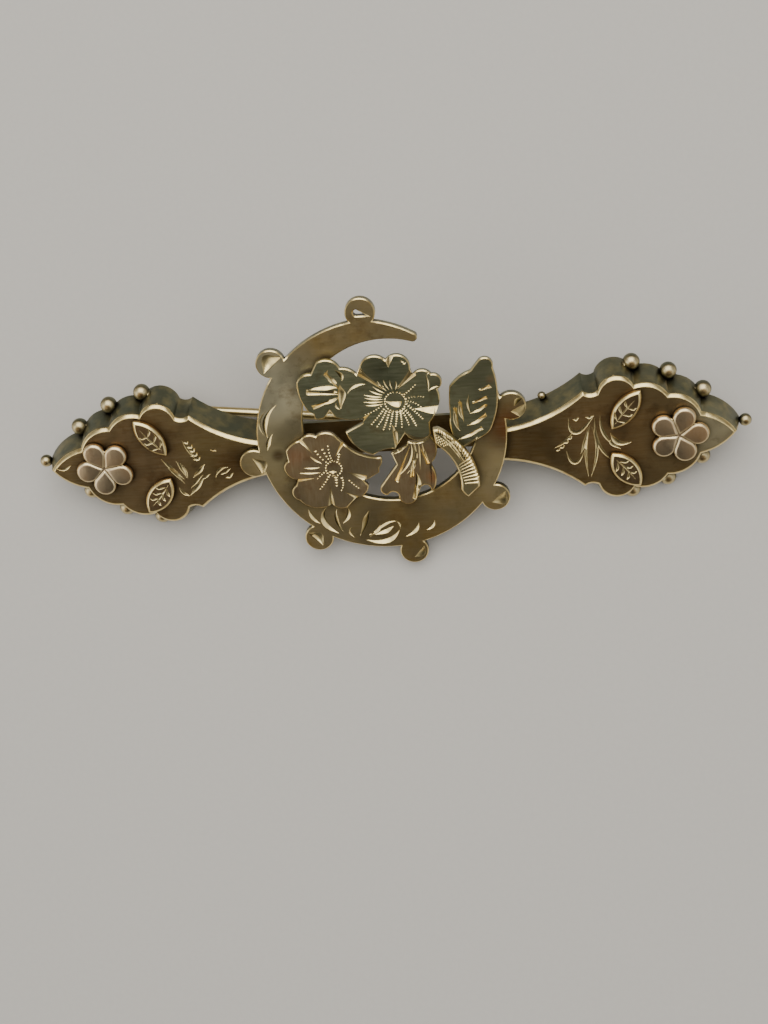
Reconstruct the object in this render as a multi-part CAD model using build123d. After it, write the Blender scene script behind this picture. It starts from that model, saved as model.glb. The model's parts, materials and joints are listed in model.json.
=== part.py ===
from build123d import *

import os
from collections import namedtuple
from math import asin, atan, atan2, cos, degrees, hypot, radians, sin, sqrt

os.makedirs("parts", exist_ok=True)

# A Victorian bar brooch of rolled gold, lying face up. Two hollow scalloped ends carry an
# open crescent with seven lugs, and a spray of engraved sheet flowers is soldered over the
# crescent. The pin swings on a rivet behind the left end and lies beside its hook.
#
# The pieces are drawn in the brooch's own frame: X along the bar, Y across it and Z out of
# its face, with the face of the two ends at Z = 0. They are then tipped back by the lean at
# which the brooch rests by itself, on its lower beads, the hinge and the hook.
# All sizes are in millimetres.

# Bar and its two hollow ends
bar_length = 50.0
end_half_width = 4.78
end_depth = 2.3
end_front = 0.4
end_wall = 0.33
end_flare = 0.58
end_bevel = 0.2
neck_overlap = 1.6
bead_radius = 0.62
tip_bead_radius = 0.46
neck_bead_radius = 0.3
bead_sink = 0.16
bead_rise = 0.3

# Plate that closes both ends behind, and the strip that joins its halves
plate_thickness = 0.35
strip_width = 2.65
strip_across = 0.47

# Crescent with its lugs
crescent_radius = 9.0
crescent_along = -0.3
crescent_across = 1.45
crescent_thickness = 0.55
hole_radius = 6.29
hole_shift_along = 0.72
hole_shift_across = 1.21
first_horn_angle = 69.3
last_horn_angle = 28.0
horn_drop = 0.7
lug_radius = 1.06
lug_stand_off = 0.55
lug_angles = (94, 140, 189, 236, 280, 326, 371)
piercing_length = 0.95
piercing_radius = 0.24

# Sheet pieces of the spray
sheet_thickness = 0.38
stem_thickness = 0.6
stem_bevel = 0.12
spray_drop = 0.15
engraving_depth = 0.17

# Flowers and leaves applied to the ends
applied_thickness = 0.48
applied_bevel = 0.16
flower_setback = 4.13
flower_across = 0.15
flower_reach = 1.32
petal_overlap = 0.06
petal_count = 5
left_flower_angle = 45.0
right_flower_angle = 2.0

# Pin, hinge and hook
pin_radius = 0.33
pin_point_length = 5.0
pin_point_radius = 0.06
pin_overrun = 2.4
rivet_radius = 0.3
eye_radius = 0.9
eye_width = 0.9
ear_thickness = 0.45
ear_radius = 0.8
bracket_base = 0.3
hinge_setback = 8.3
hinge_across = 2.25
hinge_depth = 5.2
hook_setback = 9.5
hook_across = 0.2
hook_width = 1.4
hook_wall = 0.35
hook_bore = 0.45
hook_foot = 1.5
pin_beside_hook = 1.3
pin_rise_at_hook = 1.0

# Clearances
seat_gap = 0.03
swing_gap = 0.06

# Outline of one half of an end, from its point to the neck. Along is a share of the end's
# length from the point, and across is a share of its half width. Behind each row the wall
# leans out by the flare, in the direction (out_along, out_across). A "through" row lies on
# the arc between the corners on its two sides.
EndRow = namedtuple("EndRow", "along across out_along out_across kind")
END_ROWS = (
    EndRow(0.000, 0.000, 1.00, 0.00, "corner"),
    EndRow(0.071, 0.245, 0.60, 0.80, "through"),
    EndRow(0.142, 0.345, 0.30, 0.95, "corner"),
    EndRow(0.199, 0.607, 0.45, 0.90, "through"),
    EndRow(0.276, 0.665, 0.20, 1.00, "corner"),
    EndRow(0.335, 0.843, 0.25, 1.00, "through"),
    EndRow(0.412, 0.841, 0.00, 1.00, "corner"),
    EndRow(0.489, 1.000, 0.00, 1.05, "through"),
    EndRow(0.557, 0.778, -0.20, 1.00, "corner"),
    EndRow(0.577, 0.749, -0.10, 1.00, "through"),
    EndRow(0.616, 0.785, -0.10, 1.00, "corner"),
    EndRow(0.773, 0.425, -0.10, 1.15, "through"),
    EndRow(1.000, 0.260, 0.00, 1.30, "corner"),
)
TIP_ROW = END_ROWS[0]
NECK_CURVE_ROW = END_ROWS[-2]
BEADED_ROWS = (END_ROWS[2], END_ROWS[4], END_ROWS[6])
LOWEST_ROW = BEADED_ROWS[-1]

# Outlines of the spray's sheet pieces. Each point is a share of the crescent's hole radius,
# along and across from the hole's centre. A Bend lies on the arc between the corners on its
# two sides.
Corner = namedtuple("Corner", "along across")
Bend = namedtuple("Bend", "along across")

UPPER_BLOSSOM = (
    Corner(-0.99, 0.62), Bend(-0.94, 0.68), Corner(-0.82, 0.71), Corner(-0.75, 0.84),
    Bend(-0.65, 0.87), Corner(-0.49, 0.76), Bend(-0.40, 0.745), Corner(-0.31, 0.675),
    Corner(-0.25, 0.81), Bend(-0.08, 0.88), Corner(0.02, 0.825), Bend(0.19, 0.87),
    Corner(0.286, 0.70), Corner(0.305, 0.63), Bend(0.43, 0.68), Corner(0.515, 0.625),
    Bend(0.625, 0.54), Corner(0.57, 0.44), Bend(0.59, 0.35), Corner(0.57, 0.24),
    Bend(0.54, 0.17), Corner(0.456, 0.04), Corner(0.458, -0.10), Bend(0.31, -0.172),
    Corner(0.17, -0.076), Corner(0.045, -0.255), Bend(-0.08, -0.265), Corner(-0.215, -0.325),
    Bend(-0.40, -0.21), Corner(-0.50, -0.02), Corner(-0.30, 0.08), Corner(-0.275, 0.138),
    Bend(-0.44, 0.13), Corner(-0.60, 0.17), Corner(-0.653, 0.256), Corner(-0.712, 0.18),
    Bend(-0.77, 0.16), Corner(-0.83, 0.165), Corner(-0.84, 0.225), Corner(-0.895, 0.255),
    Bend(-0.965, 0.40),
)
LOWER_BLOSSOM = (
    Corner(-1.04, -0.115), Bend(-0.96, -0.06), Corner(-0.86, -0.08), Bend(-0.72, -0.04),
    Corner(-0.61, -0.12), Corner(-0.555, -0.18), Bend(-0.39, -0.325), Corner(-0.134, -0.39),
    Bend(-0.13, -0.455), Corner(-0.165, -0.515), Corner(-0.173, -0.58), Corner(-0.31, -0.66),
    Corner(-0.365, -0.67), Corner(-0.31, -0.74), Bend(-0.35, -0.835), Corner(-0.47, -0.89),
    Corner(-0.585, -1.01), Bend(-0.66, -1.02), Corner(-0.757, -0.955), Bend(-0.92, -1.00),
    Corner(-1.13, -0.885), Bend(-1.205, -0.80), Corner(-1.15, -0.69), Corner(-1.124, -0.623),
    Bend(-1.22, -0.565), Corner(-1.264, -0.47), Bend(-1.245, -0.405), Corner(-1.207, -0.374),
    Corner(-1.22, -0.245), Bend(-1.14, -0.16),
)
BELL_BUD = (
    Corner(0.19, -0.21), Bend(0.31, -0.225), Corner(0.447, -0.153), Bend(0.51, -0.35),
    Corner(0.426, -0.505), Corner(0.46, -0.585), Bend(0.478, -0.73), Corner(0.44, -0.84),
    Corner(0.405, -0.85), Bend(0.34, -0.772), Corner(0.285, -0.82), Corner(0.238, -0.92),
    Bend(0.14, -1.01), Corner(0.03, -0.92), Bend(-0.03, -0.84), Corner(-0.095, -0.878),
    Bend(-0.157, -0.85), Corner(-0.167, -0.763), Corner(0.037, -0.493), Corner(-0.014, -0.348),
    Corner(0.165, -0.26),
)
RIGHT_LEAF = (
    Corner(0.70, 0.43), Bend(0.795, 0.53), Corner(0.945, 0.61), Corner(1.03, 0.715),
    Bend(1.115, 0.755), Corner(1.195, 0.63), Bend(1.236, 0.27), Corner(1.155, -0.075),
    Bend(1.11, -0.15), Corner(1.055, -0.192), Corner(0.81, -0.325), Bend(0.71, -0.18),
    Corner(0.688, 0.07), Bend(0.686, 0.25),
)
CURVED_STEM = (
    Corner(0.485, -0.04), Corner(0.54, -0.03), Bend(0.80, -0.265), Corner(0.978, -0.735),
    Corner(0.975, -0.785), Corner(0.836, -0.913), Bend(0.78, -0.855), Corner(0.757, -0.81),
    Bend(0.715, -0.50), Corner(0.564, -0.278), Corner(0.50, -0.21),
)
STEM_FOOT = (
    Corner(0.885, -0.58), Corner(0.955, -0.74), Corner(0.95, -0.77), Corner(0.84, -0.875),
    Corner(0.79, -0.80), Corner(0.765, -0.62),
)

# Applied leaves. Each point is a share of an end's length from its point, and of its half
# width.
UPPER_LEAF = (
    Corner(0.388, 0.793), Bend(0.480, 0.620), Corner(0.505, 0.190), Bend(0.408, 0.400),
)
LOWER_LEAF = (
    Corner(0.505, -0.205), Bend(0.408, -0.370), Corner(0.388, -0.770), Bend(0.490, -0.600),
)

# Graver's cuts between the petals. Each runs from nothing at its first end to its full
# depth at the rim, in the same shares as the outlines. Its width is a share too.
Cut = namedtuple("Cut", "from_along from_across to_along to_across width")
UPPER_BLOSSOM_CUTS = (
    Cut(-0.03, 0.475, -0.29, 0.69, 0.055),
    Cut(0.048, 0.735, 0.08, 0.90, 0.10),
    Cut(0.126, 0.472, 0.32, 0.65, 0.075),
    Cut(0.307, 0.223, 0.56, 0.19, 0.085),
    Cut(0.03, 0.00, 0.07, -0.27, 0.055),
    Cut(-0.189, 0.207, -0.30, 0.12, 0.045),
    Cut(-0.49, 0.47, -0.66, 0.71, 0.05),
    Cut(-0.50, 0.45, -0.88, 0.49, 0.05),
    Cut(-0.50, 0.42, -0.84, 0.31, 0.05),
)
LOWER_BLOSSOM_CUTS = (
    Cut(-0.658, -0.345, -0.55, -0.17, 0.045),
    Cut(-0.908, -0.304, -1.045, -0.105, 0.045),
    Cut(-0.93, -0.604, -1.14, -0.625, 0.045),
    Cut(-0.754, -0.70, -0.765, -0.97, 0.075),
    Cut(-0.541, -0.545, -0.34, -0.64, 0.075),
    Cut(-0.60, -0.80, -0.43, -0.90, 0.05),
)
BELL_BUD_CUTS = (
    Cut(0.21, -0.26, 0.02, -0.70, 0.04),
    Cut(0.25, -0.26, 0.20, -0.66, 0.045),
    Cut(0.31, -0.26, 0.40, -0.51, 0.045),
    Cut(0.26, -0.62, 0.22, -0.94, 0.07),
)
RIGHT_LEAF_CUTS = (
    Cut(1.03, 0.36, 1.15, 0.41, 0.04),
    Cut(0.94, 0.21, 1.11, 0.28, 0.04),
    Cut(0.91, 0.09, 1.10, 0.18, 0.04),
    Cut(0.87, -0.06, 1.09, 0.06, 0.04),
    Cut(0.77, -0.22, 1.03, -0.10, 0.04),
    Cut(0.84, -0.02, 0.81, 0.24, 0.04),
    Cut(0.78, -0.12, 0.75, 0.17, 0.04),
)

# Sizes that follow from the ones above
neck_end = crescent_radius - neck_overlap
end_length = bar_length / 2 - neck_end
crescent_top = seat_gap + crescent_thickness
sheet_level = crescent_top + seat_gap
raised_level = sheet_level + sheet_thickness + seat_gap
bead_level = bead_rise - end_depth
foot_level = -end_depth - seat_gap
hinge_along = hinge_setback - bar_length / 2
hook_along = bar_length / 2 - hook_setback
hinge_half_width = eye_width / 2 + swing_gap + ear_thickness
hook_radius = hook_bore + hook_wall
petal_radius = flower_reach * sin(radians(180 / petal_count)) + petal_overlap


def outline_face(points, bends):
    """A flat face inside corners that are joined by lines, or by arcs through the bends."""
    edges = []
    count = len(points)
    for place, here in enumerate(points):
        if bends[place]:
            continue
        following = (place + 1) % count
        if bends[following]:
            edges.append(ThreePointArc(here, points[following], points[(place + 2) % count]))
        else:
            edges.append(Line(here, points[following]))
    return make_face(edges)


def eased(piece, width):
    """The piece with the edges of its front face cut back at 45 degrees."""
    front = piece.faces().sort_by(Axis.Z)[-1]
    return chamfer(front.edges(), width)


def end_point(row, spread):
    """One row's point on the right end, moved out by spread along the row's lean."""
    along = bar_length / 2 - row.along * end_length + spread * row.out_along
    return along, row.across * end_half_width + spread * row.out_across


def end_section(level, spread, past_neck=0.0):
    """The right end's outline at a level. It runs on past the neck's end where asked."""
    upper = [end_point(row, spread) for row in END_ROWS]
    upper[-1] = (upper[-1][0] - past_neck, upper[-1][1])
    lower = [(along, -across) for along, across in reversed(upper[1:])]
    upper_bends = [row.kind == "through" for row in END_ROWS]
    bends = upper_bends + upper_bends[:0:-1]
    return Pos(0, 0, level) * outline_face(upper + lower, bends)


def end_shell():
    """The right end: a hollow scalloped box, open behind, with beads along its rear edge."""
    outer = loft([
        end_section(-end_depth, end_flare),
        end_section(-end_bevel, 0),
        end_section(0, -end_bevel),
    ], ruled=True)
    flare_at_front = end_flare * end_front / end_depth
    flare_past_back = end_flare * (1 + end_wall / end_depth)
    hollow = loft([
        end_section(-end_depth - end_wall, flare_past_back - end_wall, end_wall),
        end_section(-end_front, flare_at_front - end_wall, end_wall),
    ], ruled=True)
    shell = outer - hollow
    for row in BEADED_ROWS:
        along, across = end_point(row, end_flare + bead_radius - bead_sink)
        for side in (1, -1):
            shell += Pos(along, side * across, bead_level) * Sphere(bead_radius)
    along = end_point(TIP_ROW, end_flare + tip_bead_radius - bead_sink)[0]
    shell += Pos(along, 0, bead_level) * Sphere(tip_bead_radius)
    return shell


def neck_bead():
    """One small bead on the upper rear edge of the right neck."""
    along, across = end_point(NECK_CURVE_ROW, end_flare + neck_bead_radius - bead_sink)
    return Pos(along, across, bead_level) * Sphere(neck_bead_radius)


def back_plate():
    """The flat plate inside both ends' rear edges, with the strip that joins its halves."""
    flare = end_flare * (1 - plate_thickness / end_depth)
    right = end_section(-end_depth, flare - end_wall - seat_gap, end_wall)
    right = extrude(right, plate_thickness)
    strip = Box(2 * (neck_end - seat_gap), strip_width, plate_thickness)
    strip = Pos(0, strip_across, plate_thickness / 2 - end_depth) * strip
    return right + mirror(right, Plane.YZ) + strip


def polar(angle, reach, middle_along=crescent_along, middle_across=crescent_across):
    """The point at an angle and distance from a middle. Without one, that is the crescent's."""
    way = radians(angle)
    return middle_along + reach * cos(way), middle_across + reach * sin(way)


def hole_edge(angle):
    """The point where a ray from the crescent's middle meets the edge of its hole."""
    way = radians(angle)
    ahead = hole_shift_along * cos(way) + hole_shift_across * sin(way)
    off_centre = hypot(hole_shift_along, hole_shift_across)
    return polar(angle, ahead + sqrt(hole_radius**2 - off_centre**2 + ahead**2))


def horn_end(outer, inner, angle, turn):
    """The furthest point of a horn's half-round end, which looks the way of the turn."""
    half_width = hypot(outer[0] - inner[0], outer[1] - inner[1]) / 2
    middle = ((outer[0] + inner[0]) / 2, (outer[1] + inner[1]) / 2)
    return polar(angle + turn * 90, half_width, *middle)


def piercing():
    """The drop-shaped hole through the first lug, with its point towards the right."""
    along, across = polar(lug_angles[0], crescent_radius + lug_stand_off)
    round_along = along - piercing_length / 2 + piercing_radius
    corners = [
        (round_along, across + piercing_radius),
        (along + piercing_length / 2, across - piercing_radius),
        (round_along, across - piercing_radius),
        (round_along - piercing_radius, across),
    ]
    return outline_face(corners, [False, False, False, True])


def crescent():
    """The crescent between its hole and its rim, with two round-ended horns and its lugs.
    The first horn's rim falls away from the circle."""
    opposite = (first_horn_angle + last_horn_angle) / 2 + 180
    middle_of_fall = (lug_angles[0] + first_horn_angle) / 2
    first_inner = hole_edge(first_horn_angle)
    first_outer = polar(first_horn_angle, crescent_radius - horn_drop)
    last_inner = hole_edge(last_horn_angle)
    last_outer = polar(last_horn_angle, crescent_radius)
    corners = [
        first_inner,
        hole_edge(opposite),
        last_inner,
        horn_end(last_outer, last_inner, last_horn_angle, 1),
        last_outer,
        polar(opposite, crescent_radius),
        polar(lug_angles[0], crescent_radius),
        polar(middle_of_fall, crescent_radius - horn_drop / 2),
        first_outer,
        horn_end(first_outer, first_inner, first_horn_angle, -1),
    ]
    flat = outline_face(corners, [False, True] * (len(corners) // 2))
    for angle in lug_angles:
        flat += Pos(*polar(angle, crescent_radius + lug_stand_off)) * Circle(lug_radius)
    flat -= piercing()
    return Pos(0, 0, seat_gap) * extrude(flat, crescent_thickness)


def spray_point(along, across):
    """The place of a point that is given in shares of the crescent's hole."""
    middle_along = crescent_along + hole_shift_along
    middle_across = crescent_across + hole_shift_across - spray_drop
    return middle_along + along * hole_radius, middle_across + across * hole_radius


def sheet(rows, level, thickness):
    """One flat piece of the spray."""
    points = [spray_point(row.along, row.across) for row in rows]
    flat = outline_face(points, [isinstance(row, Bend) for row in rows])
    return Pos(0, 0, level) * extrude(flat, thickness)


def graver_cut(start, end, level, width, depth):
    """A V-shaped cutter whose keel sinks from the surface at its start to full depth."""
    length = hypot(end[0] - start[0], end[1] - start[1])
    heading = degrees(atan2(end[1] - start[1], end[0] - start[0]))
    blade = make_face(Polyline((0, 0), (width / 2, depth), (-width / 2, depth), close=True))
    blade = extrude(Plane.YZ * blade, length)
    sink = degrees(atan(depth / length))
    return Pos(start[0], start[1], level) * Rot(0, 0, heading) * Rot(0, sink, 0) * blade


def engraved(piece, cuts, level):
    """The piece with its graver's cuts."""
    for cut in cuts:
        start = spray_point(cut.from_along, cut.from_across)
        end = spray_point(cut.to_along, cut.to_across)
        piece -= graver_cut(start, end, level, cut.width * hole_radius, engraving_depth)
    return piece


def curved_stem():
    """The stem of the spray, whose lower end stands on the crescent."""
    stem = eased(sheet(CURVED_STEM, raised_level, stem_thickness), stem_bevel)
    return stem + sheet(STEM_FOOT, sheet_level, raised_level - sheet_level + seat_gap)


def petal_outline(centre, radius):
    """A round petal that narrows in straight lines to a point. The point lies at the
    flower's middle when the radius is the petal's full one."""
    lean_in = asin(petal_radius / flower_reach)
    tip = centre - radius / sin(lean_in)
    side = radius * cos(lean_in)
    touch = centre - radius * sin(lean_in)
    corners = [(tip, 0), (touch, -side), (centre + radius, 0), (touch, side)]
    return outline_face(corners, [False, False, True, False])


def applied_flower(side, first_angle):
    """Five bevelled petals that meet in the middle, on one of the two ends."""
    shoulder = applied_thickness - applied_bevel
    full = petal_outline(flower_reach, petal_radius)
    petal = extrude(full, shoulder) + loft([
        Pos(0, 0, shoulder) * full,
        Pos(0, 0, applied_thickness) * petal_outline(flower_reach, petal_radius - applied_bevel),
    ], ruled=True)
    flower = Rot(0, 0, first_angle) * petal
    for number in range(1, petal_count):
        flower += Rot(0, 0, first_angle + number * 360 / petal_count) * petal
    along = side * (bar_length / 2 - flower_setback)
    return Pos(along, flower_across, seat_gap) * flower


def applied_leaf(rows, side):
    """One almond-shaped leaf on one of the two ends."""
    points = []
    for row in rows:
        along = side * (bar_length / 2 - row.along * end_length)
        points.append((along, row.across * end_half_width))
    flat = outline_face(points, [isinstance(row, Bend) for row in rows])
    return eased(Pos(0, 0, seat_gap) * extrude(flat, applied_thickness), applied_bevel)


def hinge_bracket():
    """A foot on the back plate with two round-ended ears."""
    width = 2 * hinge_half_width
    ears = Box(2 * ear_radius, width, hinge_depth + foot_level)
    ears = Pos(0, 0, (foot_level - hinge_depth) / 2) * ears
    ears += Pos(0, 0, -hinge_depth) * Rot(90, 0, 0) * Cylinder(ear_radius, width)
    slot_depth = hinge_depth + 2 * ear_radius
    slot = Box(4 * ear_radius, eye_width + 2 * swing_gap, slot_depth)
    slot = Pos(0, 0, foot_level - bracket_base - slot_depth / 2) * slot
    hole = Rot(90, 0, 0) * Cylinder(rivet_radius + seat_gap, 2 * width)
    bracket = ears - slot - Pos(0, 0, -hinge_depth) * hole
    return Pos(hinge_along, hinge_across, 0) * bracket


def hinge_rivet():
    """The plain rivet through the two ears and the pin's eye."""
    rivet = Rot(90, 0, 0) * Cylinder(rivet_radius, 2 * hinge_half_width)
    return Pos(hinge_along, hinge_across, -hinge_depth) * rivet


# At rest the two lowest beads and the edge of the hinge's nearer ear stand on one flat
# surface, and the hook reaches just as far down.
lowest_bead_across = end_point(LOWEST_ROW, end_flare + bead_radius - bead_sink)[1]
hinge_rise = hinge_across - hinge_half_width + lowest_bead_across
hinge_drop = hinge_depth + ear_radius + bead_level
lean = atan2(hinge_drop, hinge_rise) - asin(bead_radius / hypot(hinge_rise, hinge_drop))
floor_below = lowest_bead_across * sin(lean) - bead_level * cos(lean) + bead_radius
hook_depth = (hook_across * sin(lean) - hook_radius + floor_below) / cos(lean)


def catch_hook():
    """A foot, a wall and a hook that curls behind the place of the fastened pin."""
    wall = Box(hook_width, hook_wall, hook_depth + foot_level)
    wall = Pos(0, hook_bore + hook_wall / 2, (foot_level - hook_depth) / 2) * wall
    foot = Box(hook_width, hook_foot, hook_wall)
    foot = Pos(0, hook_radius - hook_foot / 2, foot_level - hook_wall / 2) * foot
    curl = Cylinder(hook_radius, hook_width) - Cylinder(hook_bore, 2 * hook_width)
    half = Box(2 * hook_radius, 4 * hook_radius, 2 * hook_width)
    curl &= Pos(hook_radius, 0, 0) * half
    hook = wall + foot + Pos(0, 0, -hook_depth) * Rot(0, 90, 0) * curl
    return Pos(hook_along, hook_across, 0) * hook


def pin_stem():
    """The pin: an eye round the rivet, a round shaft and a sharp point."""
    start = Vector(hinge_along, hinge_across, -hinge_depth)
    beside_hook = Vector(
        hook_along, hook_across - pin_beside_hook, pin_rise_at_hook - hinge_depth
    )
    way = (beside_hook - start).normalized()
    length = (beside_hook - start).length + pin_overrun
    shaft = Cylinder(pin_radius, length - pin_point_length)
    shaft = Pos(0, 0, (length - pin_point_length) / 2) * shaft
    point = Cone(pin_radius, pin_point_radius, pin_point_length)
    shaft += Pos(0, 0, length - pin_point_length / 2) * point
    eye = Rot(90, 0, 0) * Cylinder(eye_radius, eye_width)
    hole = Rot(90, 0, 0) * Cylinder(rivet_radius + swing_gap, 2 * eye_width)
    return Pos(start) * eye + Plane(start, z_dir=way) * shaft - Pos(start) * hole


def spray_piece(rows, cuts, level):
    """One engraved sheet of the spray."""
    return engraved(sheet(rows, level, sheet_thickness), cuts, level + sheet_thickness)


right_end = end_shell()
nodes = {
    "left_end": mirror(right_end, Plane.YZ),
    "right_end": right_end + neck_bead(),
    "back_plate": back_plate(),
    "crescent": crescent(),
    "lower_blossom": spray_piece(LOWER_BLOSSOM, LOWER_BLOSSOM_CUTS, sheet_level),
    "bell_bud": spray_piece(BELL_BUD, BELL_BUD_CUTS, sheet_level),
    "right_leaf": spray_piece(RIGHT_LEAF, RIGHT_LEAF_CUTS, sheet_level),
    "upper_blossom": spray_piece(UPPER_BLOSSOM, UPPER_BLOSSOM_CUTS, raised_level),
    "curved_stem": curved_stem(),
    "left_flower": applied_flower(-1, left_flower_angle),
    "right_flower": applied_flower(1, right_flower_angle),
    "left_upper_leaf": applied_leaf(UPPER_LEAF, -1),
    "left_lower_leaf": applied_leaf(LOWER_LEAF, -1),
    "right_upper_leaf": applied_leaf(UPPER_LEAF, 1),
    "right_lower_leaf": applied_leaf(LOWER_LEAF, 1),
    "hinge_bracket": hinge_bracket(),
    "hinge_rivet": hinge_rivet(),
    "catch_hook": catch_hook(),
    "pin_stem": pin_stem(),
}

# Tipped back to rest, then moved so that the box's lowest face is centred on the origin
tipped = {name: Rot(degrees(lean), 0, 0) * piece for name, piece in nodes.items()}
boxes = [piece.bounding_box() for piece in tipped.values()]
middle_along = (min(box.min.X for box in boxes) + max(box.max.X for box in boxes)) / 2
middle_across = (min(box.min.Y for box in boxes) + max(box.max.Y for box in boxes)) / 2
for name, piece in tipped.items():
    export_step(Pos(-middle_along, -middle_across, floor_below) * piece, f"parts/{name}.step")
print("lean", degrees(lean), "moved by", -middle_along, -middle_across, floor_below)
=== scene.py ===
"""The looks of a rolled gold bar pin: engraving, worn rims, golds, floor, light and camera."""

import json
import math
from collections import namedtuple

import bmesh
import bpy
from mathutils import Matrix, Vector


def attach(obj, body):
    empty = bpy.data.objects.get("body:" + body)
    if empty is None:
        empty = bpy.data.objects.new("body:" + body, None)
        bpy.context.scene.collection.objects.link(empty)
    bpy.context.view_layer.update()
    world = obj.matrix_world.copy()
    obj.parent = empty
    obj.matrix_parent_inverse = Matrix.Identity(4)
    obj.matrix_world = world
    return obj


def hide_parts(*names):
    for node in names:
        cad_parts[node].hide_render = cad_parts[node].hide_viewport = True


bl_info = {
    "name": "Rolled gold bar pin",
    "version": (1, 0, 0),
    "blender": (4, 5, 0),
    "location": "View3D > Sidebar > Bar Pin",
    "description": "Engraves, finishes and lights a rolled gold bar pin",
    "category": "Object",
}

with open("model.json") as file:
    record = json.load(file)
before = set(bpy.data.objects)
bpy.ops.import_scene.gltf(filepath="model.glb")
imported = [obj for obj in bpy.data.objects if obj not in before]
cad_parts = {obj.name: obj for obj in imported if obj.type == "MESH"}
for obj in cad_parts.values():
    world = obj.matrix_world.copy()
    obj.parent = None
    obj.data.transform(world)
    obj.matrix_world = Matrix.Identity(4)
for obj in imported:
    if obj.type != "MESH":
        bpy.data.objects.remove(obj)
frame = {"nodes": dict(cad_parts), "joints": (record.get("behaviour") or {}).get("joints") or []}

MM = 0.001

# The brooch was drawn flat, in millimetres: u along the bar, v across it and w out of its front.
# The hinge's axis lies along v, and this is where the hinge was drawn.
HINGE = frame["joints"][0]
HINGE_DRAWN_AT = Vector((-16.7, 2.25, -5.2))

# Heights w of the front faces that the graver works on.
END_FRONT = 0.0
LEAF_FRONT = 0.51
CRESCENT_FRONT = 0.58
SHEET_FRONT = 0.99
RAISED_FRONT = 1.40
STEM_FRONT = 1.62


def drawn_frame():
    """The brooch's lean, and the matrix from its own millimetres to the row frame's metres."""
    axis = Vector(HINGE["axis"])
    lean = math.atan2(axis.z, axis.y)
    turn = Matrix.Rotation(lean, 4, "X") @ Matrix.Scale(MM, 4)
    place = Vector(HINGE["pos_m"]) - turn @ HINGE_DRAWN_AT
    return lean, Matrix.Translation(place) @ turn


LEAN, TO_ROW = drawn_frame()
TO_DRAWN = TO_ROW.inverted()
FRONT = Vector((0.0, -math.sin(LEAN), math.cos(LEAN)))


def linear(colour):
    """The linear colour of an sRGB hex value, with full alpha."""
    shares = [int(colour[start : start + 2], 16) / 255 for start in (0, 2, 4)]
    channels = [s / 12.92 if s <= 0.04045 else ((s + 0.055) / 1.055) ** 2.4 for s in shares]
    return (*channels, 1.0)


# A colour mix has sockets of the same names for other kinds of value, so these go by number.
FACTOR, FIRST, SECOND, MIXED = 0, 6, 7, 2

# Tones that all the old gold shares.
SCRATCHED_PALE = "f0e4bc"
RUBBED_PALE = "eddfae"
# The walls' grey-green: partly patina, partly a painted dark reflection.
PATINA_AND_REFLECTION_GREY, PATINA_AND_REFLECTION_OLIVE = "525e50", "7f7c5b"
OLD_DIRT_AND_PAINTED_SHADE = "241b0f"

# How much of a brown stain shows, and how much of the darkening in corners, which is partly old
# dirt and partly painted shade.
STAIN_SHARE = 0.55
DIRT_AND_SHADE_SHARE = 0.85
DIRT_AND_SHADE_REACH = 0.7 * MM

# How much rougher the gold is where it has clouded, how deep its scratches are for each share of
# brushing, and how far the sheet swells.
CLOUDED = 0.12
SCRATCH_DEPTH = 0.06
SWELL_DEPTH = 0.05 * MM

# How far the brush's streaks are drawn out, along the bar or across it.
ALONG, ACROSS = (9.0, 1.0, 1.0), (1.0, 7.0, 1.0)


def add(tree, kind, inputs=None, **settings):
    """Adds a node with its settings, and gives inputs, by name or number, a value or a link."""
    node = tree.nodes.new(kind)
    for name, value in settings.items():
        setattr(node, name, value)
    for name, value in (inputs or {}).items():
        if isinstance(value, bpy.types.NodeSocket):
            tree.links.new(value, node.inputs[name])
        else:
            node.inputs[name].default_value = value
    return node


def bare_material(name):
    """A new material with nothing in its tree yet, and the tree."""
    material = bpy.data.materials.new(name)
    material.use_nodes = True
    material.node_tree.nodes.clear()
    return material, material.node_tree


def drawn_point(tree, place):
    """The place on the brooch in its own millimetres, so that patterns follow its face."""
    mapping = add(
        tree,
        "ShaderNodeMapping",
        {
            "Vector": place,
            "Location": TO_ROW.translation,
            "Rotation": (LEAN, 0.0, 0.0),
            "Scale": (MM, MM, MM),
        },
        vector_type="TEXTURE",
    )
    return mapping.outputs["Vector"]


def patchy(tree, point, size, detail, none, full, stretch=(1.0, 1.0, 1.0), roughness=0.5):
    """Cloudy patches about size millimetres across before any stretch, and their plain noise.

    The patches are 0 where the noise is under none, and 1 where it is over full.
    """
    mapping = add(
        tree,
        "ShaderNodeMapping",
        {"Vector": point, "Scale": tuple(1.0 / (size * share) for share in stretch)},
    )
    noise = add(
        tree,
        "ShaderNodeTexNoise",
        {
            "Vector": mapping.outputs["Vector"],
            "Scale": 1.0,
            "Detail": detail,
            "Roughness": roughness,
        },
    )
    patches = add(
        tree,
        "ShaderNodeMapRange",
        {"Value": noise.outputs["Fac"], "From Min": none, "From Max": full},
    )
    return patches.outputs["Result"], noise.outputs["Fac"]


def near(tree, point, u, v, radius):
    """A soft round patch about a place on the front, 1 at its middle and 0 past its radius."""
    height, even_share = 0.5, 0.2
    centre = (u, v, height)
    away = add(tree, "ShaderNodeVectorMath", {0: point, 1: centre}, operation="DISTANCE")
    patch = add(
        tree,
        "ShaderNodeMapRange",
        {"Value": away.outputs["Value"], "From Min": radius, "From Max": even_share * radius},
        interpolation_type="SMOOTHSTEP",
    )
    return patch.outputs["Result"]


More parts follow.
